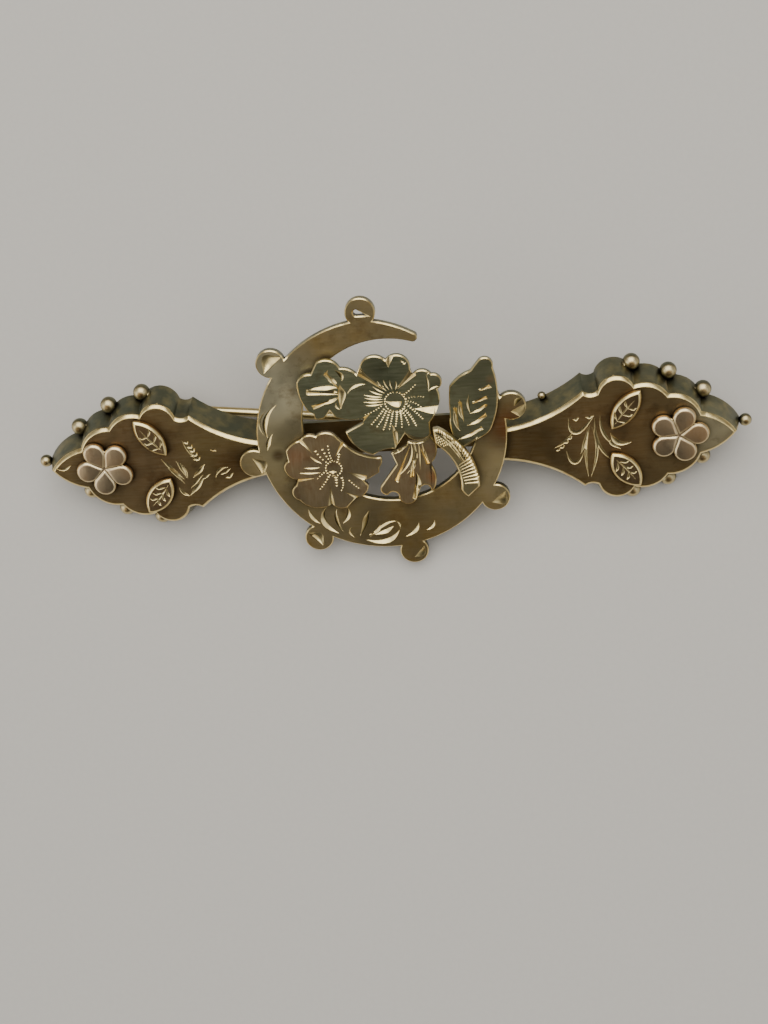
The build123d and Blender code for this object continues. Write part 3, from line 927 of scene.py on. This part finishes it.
UPPER_BLOSSOM_CUTS = [
    stroke((-2.95, 6.2), (-3.25, 6.6), (-3.73, 7.08), 0.34, 0.45),
    stroke((-2.62, 6.35), (-2.72, 6.75), (-3.01, 7.18), 0.26, 0.5, side=-1),
    stroke((-3.0, 5.86), (-3.78, 6.04), (-5.18, 5.84), 0.3, 0.5),
    stroke((-3.0, 5.5), (-3.52, 5.66), (-4.74, 5.44), 0.3, 0.5),
    stroke((-2.98, 5.15), (-3.59, 4.98), (-4.88, 4.6), 0.26, 0.5),
    stroke((-2.78, 6.05), (-2.92, 5.3), (-2.9, 4.25), 0.5, 0.45, side=1, slope=22.0),
    stroke((-3.15, 4.75), (-3.12, 4.45), (-2.98, 4.2), 0.14, side=-1),
    stroke((-0.97, 6.01), (-1.8, 5.96), (-2.3, 5.4), 0.2),
    stroke((-1.26, 7.49), (-0.75, 6.55), (0.3, 5.73), 0.2, side=-1),
    line((0.73, 7.2), (0.8, 8.3), 0.36, 1.0, side=1, slope=20.0),
    line((0.73, 7.2), (0.8, 8.3), 0.36, 1.0, side=-1, slope=20.0),
    line((1.64, 7.63), (1.84, 7.46), HAIR),
    line((1.76, 7.36), (1.98, 7.45), HAIR),
    stroke((1.26, 5.68), (1.7, 6.17), (2.18, 6.83), 0.4, 1.0),
    stroke((3.28, 6.45), (3.33, 5.83), (3.37, 5.17), 0.13, side=1),
    stroke((3.39, 5.21), (3.71, 5.48), (4.11, 5.51), 0.13),
    stroke((3.36, 6.44), (3.68, 6.58), (4.23, 6.23), 0.12),
    stroke((2.3, 3.93), (3.2, 3.96), (4.15, 4.0), 0.62, 1.0),
    stroke((0.31, 4.62), (0.88, 4.52), (1.45, 4.52), 0.4, 0.8),
    line((-1.2, 5.2), (0.1, 4.95), HAIR),
    line((-1.15, 4.95), (0.15, 4.78), HAIR),
    line((-1.25, 4.65), (0.15, 4.6), HAIR),
    line((-1.15, 4.38), (0.15, 4.42), HAIR),
    line((-0.75, 5.5), (0.15, 5.1), HAIR),
    line((-0.5, 5.8), (0.3, 5.25), HAIR),
    line((-0.15, 6.2), (0.45, 5.4), HAIR),
    line((0.3, 6.25), (0.65, 5.45), HAIR),
    line((0.75, 6.2), (0.88, 5.45), HAIR),
    line((1.15, 6.1), (1.08, 5.45), HAIR),
    stroke((-2.42, 2.09), (-1.96, 1.16), (-0.83, 0.61), 0.3, side=-1),
    stroke((0.61, 2.78), (0.93, 2.08), (0.83, 1.14), 0.25, side=-1),
    stroke((1.44, 2.2), (2.35, 1.67), (3.27, 1.82), 0.28),
    *ladder((1.55, 4.0), (2.0, 3.35), (2.3, 2.67), 9, 0.26, HAIR),
    *ladder((1.75, 4.35), (2.3, 3.75), (2.8, 3.16), 9, 0.24, HAIR),
    *ladder((1.05, 3.75), (0.98, 3.25), (0.87, 2.7), 7, 0.26, HAIR),
    *ladder((0.5, 3.8), (0.25, 3.1), (0.0, 2.5), 8, 0.24, HAIR),
    *ladder((0.15, 4.05), (-0.3, 3.5), (-0.8, 2.95), 8, 0.2, HAIR),
    *ladder((-0.02, 4.3), (-0.55, 3.95), (-1.15, 3.7), 7, 0.16, HAIR),
    *ladder((1.8, 4.75), (2.4, 4.85), (2.95, 4.8), 7, 0.18, HAIR),
    *ladder((1.7, 5.1), (2.1, 5.4), (2.5, 5.75), 6, 0.16, HAIR),
    *ladder((1.4, 3.85), (1.65, 3.3), (1.8, 2.75), 7, 0.2, HAIR),
    *ladder((1.28, 3.8), (1.32, 3.3), (1.3, 2.6), 8, 0.22, HAIR),
    *ladder((0.75, 3.8), (0.62, 3.2), (0.42, 2.5), 8, 0.22, HAIR),
    *ladder((0.3, 3.9), (0.0, 3.35), (-0.42, 2.75), 8, 0.2, HAIR),
    *ladder((1.85, 4.55), (2.4, 4.35), (2.9, 3.9), 7, 0.18, HAIR),
    *ticks(UPPER_CENTRE, 0.66, 0.15, 23, 0.11),
]


def leaf_cuts(stalk, tip, veins):
    """A small leaf's midrib, with a side vein each way at every step, shorter towards the tip."""
    rib_share, rib_width, vein_width = 0.9, 0.13, 0.17
    first_root, rooted_share = 0.1, 0.72
    longest, lost = 0.64, 0.24
    forward = 0.8
    stalk, tip = Vector(stalk), Vector(tip)
    along = tip - stalk
    aside = Vector((-along.y, along.x)).normalized()
    cuts = [line(stalk, stalk + along * rib_share, rib_width, side=1)]
    for vein in range(veins):
        root = stalk + along * (first_root + rooted_share * vein / veins)
        reach = longest - lost * vein / veins
        for hand in (-1, 1):
            end = root + along.normalized() * reach * forward + aside * hand * reach
            cuts.append(line(root, end, vein_width, 0.7))
    return cuts


# The stem's two long sides, and its length in millimetres.
STEM_OUTER = stroke((3.82, 2.32), (5.45, 0.84), (6.57, -2.11), 0.0)
STEM_INNER = stroke((3.6, 1.19), (4.75, -0.35), (5.33, -2.87), 0.0)
STEM_LENGTH = 5.3

# From this share of its length on, the ridges cross the whole stem. Before it they cross only
# its outer part, from this share of its width, and every fourth one is left out.
WHOLE_FROM = 0.66
OUTER_FROM = 0.66

# A groove between two ridges takes this share of their pitch, and runs out over each side by
# this share of the stem's width. The ridges lean, and reach this share of the inner side.
GROOVE_SHARE = 0.45
OVERRUN = 0.05
INNER_SHARE = 0.88

# The lines along the stem's upper half.
STEM_LINES = (
    ((3.7, 2.36), (4.97, 1.2), (5.84, -0.6)),
    ((3.6, 2.2), (4.8, 1.14), (5.66, -0.7)),
    ((3.56, 2.02), (4.62, 1.1), (5.46, -0.45)),
)

# The stipple at the stem's top: its first dot, the steps along a row and to the next row, and
# one dot's length.
FIRST_DOT = Vector((3.58, 1.86))
NEXT_DOT = Vector((0.18, -0.14))
NEXT_ROW = Vector((0.05, -0.19))
DOT = Vector((0.11, 0.05))

FINE = 0.12


def stem_cuts(pitch):
    """Ridges across the stem's outer side and its whole lower end, lines along it, and stipple."""
    cuts = []
    count = int(STEM_LENGTH / pitch)
    for ridge in range(count):
        share = (ridge + 0.5) / count
        whole = share > WHOLE_FROM
        inner, _ = on_path(STEM_INNER, INNER_SHARE * share)
        outer, _ = on_path(STEM_OUTER, share)
        across = outer - inner
        if whole or ridge % 4 != 3:
            start = inner + across * (-OVERRUN if whole else OUTER_FROM)
            end = outer + across * OVERRUN
            heel = 1.0 if whole else EVEN
            width = GROOVE_SHARE * pitch
            cuts.append(line(start, end, width, heel, fall=0.1, slope=42.0, steep=0.3))
    for start, bend, end in STEM_LINES:
        cuts.append(stroke(start, bend, end, FINE, side=-1, steep=0.3))
    for row in range(4):
        for dot in range(6 - row):
            place = FIRST_DOT + NEXT_DOT * dot + NEXT_ROW * row
            cuts.append(line(place, place + DOT, FINE))
    return cuts


class PIN_PG_graver(bpy.types.PropertyGroup):
    """Sizes of the hand work."""

    rim_width: bpy.props.FloatProperty(
        name="Rim",
        description="Width of the bright rim round each sheet",
        default=0.08 * MM,
        min=0.0,
        precision=6,
        unit="LENGTH",
    )
    ridge_pitch: bpy.props.FloatProperty(
        name="Ridge pitch",
        description="Distance between the stem's ridges",
        default=0.23 * MM,
        min=0.1 * MM,
        precision=6,
        unit="LENGTH",
    )


class PIN_PG_stage(bpy.types.PropertyGroup):
    """Floor and light."""

    floor_colour: bpy.props.FloatVectorProperty(
        name="Floor",
        description="Colour of the floor",
        subtype="COLOR",
        size=3,
        min=0.0,
        max=1.0,
        default=linear("c4bfb5")[:3],
    )
    box_power: bpy.props.FloatProperty(
        name="Softbox", description="Power of the softbox", default=2.2, min=0.0, unit="POWER"
    )
    room_grey: bpy.props.FloatProperty(
        name="Room",
        description="Grey of the room round the brooch",
        default=0.27,
        min=0.0,
        max=1.0,
        subtype="FACTOR",
    )
    flag_grey: bpy.props.FloatProperty(
        name="Flag",
        description="Grey of the dark flag that the faces mirror",
        default=0.02,
        min=0.0,
        max=1.0,
        subtype="FACTOR",
    )
    window_grey: bpy.props.FloatProperty(
        name="Window", description="Brightness of the window on the left", default=1.5, min=0.0
    )
    card_grey: bpy.props.FloatProperty(
        name="Card", description="Brightness of the white card on the right", default=0.8, min=0.0
    )


# The floor's half width in metres, the size of its tooth, and the light left in the tooth's
# hollows.
FLOOR_REACH = 0.8
TOOTH_SIZE = 0.4 * MM
TOOTH_SHADE = 0.94


def make_floor(stage):
    """A wide floor of pale matt card, whose faint tooth keeps it from looking like plastic."""
    bm = bmesh.new()
    bmesh.ops.create_grid(bm, x_segments=2, y_segments=2, size=FLOOR_REACH)
    mesh = bpy.data.meshes.new("floor")
    bm.to_mesh(mesh)
    bm.free()
    floor = bpy.data.objects.new("floor", mesh)
    bpy.context.scene.collection.objects.link(floor)
    material, tree = bare_material("pale_matt_card")
    coordinates = add(tree, "ShaderNodeTexCoord")
    tooth = add(
        tree,
        "ShaderNodeTexNoise",
        {"Vector": coordinates.outputs["Object"], "Scale": 1.0 / TOOTH_SIZE, "Detail": 2.0},
    )
    pale = tuple(stage.floor_colour)
    shaded = tuple(TOOTH_SHADE * channel for channel in pale)
    colour = add(
        tree,
        "ShaderNodeMix",
        {FACTOR: tooth.outputs["Fac"], FIRST: (*pale, 1.0), SECOND: (*shaded, 1.0)},
        data_type="RGBA",
    )
    shader = add(
        tree,
        "ShaderNodeBsdfPrincipled",
        {"Base Color": colour.outputs[MIXED], "Roughness": 0.9},
    )
    add(tree, "ShaderNodeOutputMaterial", {"Surface": shader.outputs["BSDF"]})
    mesh.materials.append(material)


# What the polished faces mirror, each with its direction, and the cosines of the angle from it
# at which it ends and at which it is full: the dark flag that the front faces see, the dim wall
# behind the brooch's raised edge, the window on the left and the white card on the right.
Glow = namedtuple("Glow", "middle edge core")
FLAG = Glow(Vector((-0.07, -0.80, 0.60)).normalized(), 0.62, 0.95)
BACK_WALL = Glow(Vector((0.0, 1.0, 0.05)).normalized(), 0.25, 0.85)
WINDOW = Glow(Vector((-0.80, -0.35, 0.45)).normalized(), 0.82, 0.96)
CARD = Glow(Vector((0.70, -0.40, 0.59)).normalized(), 0.86, 0.97)

# How much of the room's light is left on the dim wall.
WALL_DIMMED = 0.3

# The softbox, in metres: its two sides, how high it hangs, and its tilt in degrees.
BOX_SIDES = (0.5, 0.46)
BOX_HEIGHT = 0.40
BOX_TILT = 20.0


def glow(tree, direction, area, faint, full):
    """A soft round area of the room: its strength runs from faint at its edge to full."""
    towards = add(
        tree, "ShaderNodeVectorMath", {0: direction, 1: area.middle}, operation="DOT_PRODUCT"
    )
    strength = add(
        tree,
        "ShaderNodeMapRange",
        {
            "Value": towards.outputs["Value"],
            "From Min": area.edge,
            "From Max": area.core,
            "To Min": faint,
            "To Max": full,
        },
        interpolation_type="SMOOTHSTEP",
    )
    return strength.outputs["Result"]


def make_light(stage):
    """A pale room, and a softbox above the brooch's upper edge.

    In the room stand a dark flag below the brooch, a dim wall behind it, a window on its left
    and a white card on its right.
    """
    world = bpy.data.worlds.new("room")
    world.use_nodes = True
    tree = world.node_tree
    background = tree.nodes["Background"]
    background.inputs["Color"].default_value = (1.0, 1.0, 1.0, 1.0)
    direction = add(tree, "ShaderNodeTexCoord").outputs["Generated"]
    room = glow(tree, direction, FLAG, stage.room_grey, stage.flag_grey)
    dim = glow(tree, direction, BACK_WALL, 1.0, WALL_DIMMED)
    window = glow(tree, direction, WINDOW, 0.0, stage.window_grey)
    card = glow(tree, direction, CARD, 0.0, stage.card_grey)
    for operation, other in (("MULTIPLY", dim), ("ADD", window), ("ADD", card)):
        joined = add(tree, "ShaderNodeMath", {0: room, 1: other}, operation=operation)
        room = joined.outputs["Value"]
    tree.links.new(room, background.inputs["Strength"])
    bpy.context.scene.world = world
    lamp = bpy.data.lights.new("softbox", "AREA")
    lamp.shape = "RECTANGLE"
    lamp.size, lamp.size_y = BOX_SIDES
    lamp.energy = stage.box_power
    box = bpy.data.objects.new("softbox", lamp)
    bpy.context.scene.collection.objects.link(box)
    raised = Matrix.Translation((0.0, 0.0, BOX_HEIGHT))
    box.matrix_world = Matrix.Rotation(-math.radians(BOX_TILT), 4, "X") @ raised


# The camera's place and its directions in the brooch's own frame, and its lens, in millimetres.
CAMERA_AT = Vector((8.46, 45.6, 96.03))
CAMERA_RIGHT = Vector((0.99498, -0.08766, -0.04879)).normalized()
CAMERA_BACK = Vector((0.0841, 0.4637, 0.8820)).normalized()
LENS = 51.61
SENSOR_HEIGHT = 36.0
NEAREST = 1.0 * MM


def make_camera():
    """The camera of the photograph: nearly overhead, 106 mm off, turned a little on its axis."""
    lens = bpy.data.cameras.new("camera")
    lens.sensor_fit = "VERTICAL"
    lens.sensor_height = SENSOR_HEIGHT
    lens.lens = LENS
    lens.clip_start = NEAREST
    camera = bpy.data.objects.new("camera", lens)
    bpy.context.scene.collection.objects.link(camera)
    up = CAMERA_BACK.cross(CAMERA_RIGHT).normalized()
    right = up.cross(CAMERA_BACK)
    turn = TO_ROW.to_3x3().normalized()
    pose = Matrix([turn @ right, turn @ up, turn @ CAMERA_BACK]).transposed().to_4x4()
    pose.translation = TO_ROW @ CAMERA_AT
    camera.matrix_world = pose
    bpy.context.scene.camera = camera


# How wide corners are worn round, in millimetres, and in how many steps.
WORN_EDGE = (0.05, 2)
WORN_STEM = (0.04, 2)
WORN_PETAL = (0.09, 3)

# The heights over which corners are worn, on the ends, on the stem, and on what is applied.
WORN_ABOVE_END = -0.9
WORN_ABOVE_STEM = 1.45
WORN_ABOVE_PLATE = 0.2

# Where the small leaves lie on an end: their stalks' and tips' u, their stalks' v, how far v
# each leaf reaches, and how far short of that its midrib ends. All are mirrored to the left.
STALK_U, TIP_U = 16.35, 17.9
STALK_V = 1.4
LEAVES = (("upper_leaf", 1, 3.79), ("lower_leaf", -1, 3.68))
SHORT_OF_TIP = 0.45


class PIN_OT_stage(bpy.types.Operator):
    """Makes the floor, the room, the softbox and the camera"""

    bl_idname = "pin.stage"
    bl_label = "Stage"

    def execute(self, context):
        stage = context.scene.pin_stage
        make_floor(stage)
        make_light(stage)
        make_camera()
        return {"FINISHED"}


class PIN_OT_ends(bpy.types.Operator):
    """Finishes the two hollow scalloped ends"""

    bl_idname = "pin.ends"
    bl_label = "Ends"

    def execute(self, context):
        for node, cuts in (("left_end", LEFT_END_CUTS), ("right_end", RIGHT_END_CUTS)):
            bm = copy_of(node)
            rounded(bm, corners_above(bm, WORN_ABOVE_END), *WORN_EDGE)
            piece(node, "yellow_gold", bm, cuts, END_FRONT, soft=32, cad_cuts=True)
        return {"FINISHED"}


class PIN_OT_crescent(bpy.types.Operator):
    """Finishes the open crescent with its lugs"""

    bl_idname = "pin.crescent"
    bl_label = "Crescent"

    def execute(self, context):
        graver = context.scene.pin_graver
        bm = copy_of("crescent")
        rounded(bm, front_rim(bm, CRESCENT_FRONT), graver.rim_width / MM, 1)
        levelled(bm, CRESCENT_FRONT)
        piece(
            "crescent",
            "yellow_gold",
            bm,
            CRESCENT_CUTS,
            CRESCENT_FRONT,
            cad_cuts=True,
            finish="crescent_gold",
        )
        return {"FINISHED"}


class PIN_OT_spray(bpy.types.Operator):
    """Finishes the two blossoms, the bell bud and the right leaf"""

    bl_idname = "pin.spray"
    bl_label = "Blossoms and leaf"

    def execute(self, context):
        graver = context.scene.pin_graver
        for node, slot, cuts, level in (
            ("lower_blossom", "rose_gold", LOWER_BLOSSOM_CUTS, SHEET_FRONT),
            ("bell_bud", "rose_gold", BELL_BUD_CUTS, SHEET_FRONT),
            ("right_leaf", "green_gold", RIGHT_LEAF_CUTS, SHEET_FRONT),
            ("upper_blossom", "green_gold", UPPER_BLOSSOM_CUTS, RAISED_FRONT),
        ):
            bm = copy_of(node)
            rounded(bm, front_rim(bm, level), graver.rim_width / MM, 1)
            levelled(bm, level)
            piece(node, slot, bm, cuts, level, cad_cuts=True)
        return {"FINISHED"}


class PIN_OT_stem(bpy.types.Operator):
    """Finishes the ridged stem"""

    bl_idname = "pin.stem"
    bl_label = "Stem"

    def execute(self, context):
        graver = context.scene.pin_graver
        bm = copy_of("curved_stem")
        rounded(bm, corners_above(bm, WORN_ABOVE_STEM), *WORN_STEM)
        cuts = stem_cuts(graver.ridge_pitch / MM)
        piece("curved_stem", "yellow_gold", bm, cuts, STEM_FRONT, finish="stem_gold")
        return {"FINISHED"}


class PIN_OT_applied(bpy.types.Operator):
    """Finishes the small flowers and leaves applied to the ends"""

    bl_idname = "pin.applied"
    bl_label = "Applied flowers and leaves"

    def execute(self, context):
        for side, hand in (("left", -1), ("right", 1)):
            bm = copy_of(f"{side}_flower")
            rounded(bm, corners_above(bm, WORN_ABOVE_PLATE), *WORN_PETAL)
            piece(f"{side}_flower", "rose_gold", bm, soft=34, finish="applied_gold")
            for kind, up, reach in LEAVES:
                node = f"{side}_{kind}"
                bm = copy_of(node)
                rounded(bm, corners_above(bm, WORN_ABOVE_PLATE), *WORN_EDGE)
                stalk = (STALK_U * hand, STALK_V * up)
                tip = (TIP_U * hand, (reach - SHORT_OF_TIP) * up)
                cuts = leaf_cuts(stalk, tip, veins=3)
                piece(node, "rose_gold", bm, cuts, LEAF_FRONT, soft=34, finish="leaf_gold")
        return {"FINISHED"}


class PIN_OT_fastening(bpy.types.Operator):
    """Finishes the back plate, the hinge, the pin and its catch"""

    bl_idname = "pin.fastening"
    bl_label = "Back and fastening"

    def execute(self, context):
        for node, slot, body in (
            ("back_plate", "yellow_gold", "brooch"),
            ("hinge_bracket", "pin_metal", "brooch"),
            ("hinge_rivet", "pin_metal", "brooch"),
            ("catch_hook", "pin_metal", "brooch"),
            ("pin_stem", "pin_metal", "pin"),
        ):
            bm = copy_of(node)
            piece(node, slot, bm, soft=35, body=body)
        return {"FINISHED"}


STEPS = (
    PIN_OT_stage,
    PIN_OT_ends,
    PIN_OT_crescent,
    PIN_OT_spray,
    PIN_OT_stem,
    PIN_OT_applied,
    PIN_OT_fastening,
)


class PIN_PT_panel(bpy.types.Panel):
    """Lists the sizes and the steps that make the bar pin"""

    bl_label = "Bar Pin"
    bl_idname = "PIN_PT_panel"
    bl_space_type = "VIEW_3D"
    bl_region_type = "UI"
    bl_category = "Bar Pin"

    def draw(self, context):
        for group in (context.scene.pin_graver, context.scene.pin_stage):
            for name in type(group).__annotations__:
                self.layout.prop(group, name)
        for step in STEPS:
            self.layout.operator(step.bl_idname)


CLASSES = (PIN_PG_graver, PIN_PG_stage, *STEPS, PIN_PT_panel)


def register():
    """Adds the classes, and the two groups of settings that the scene keeps."""
    for each in CLASSES:
        bpy.utils.register_class(each)
    bpy.types.Scene.pin_graver = bpy.props.PointerProperty(type=PIN_PG_graver)
    bpy.types.Scene.pin_stage = bpy.props.PointerProperty(type=PIN_PG_stage)


def unregister():
    """Takes the settings and the classes away again."""
    del bpy.types.Scene.pin_graver
    del bpy.types.Scene.pin_stage
    for each in reversed(CLASSES):
        bpy.utils.unregister_class(each)


def main():
    """Makes everything."""
    register()
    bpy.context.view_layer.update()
    bpy.ops.pin.stage()
    bpy.ops.pin.ends()
    bpy.ops.pin.crescent()
    bpy.ops.pin.spray()
    bpy.ops.pin.stem()
    bpy.ops.pin.applied()
    bpy.ops.pin.fastening()


if __name__ == "__main__":
    main()
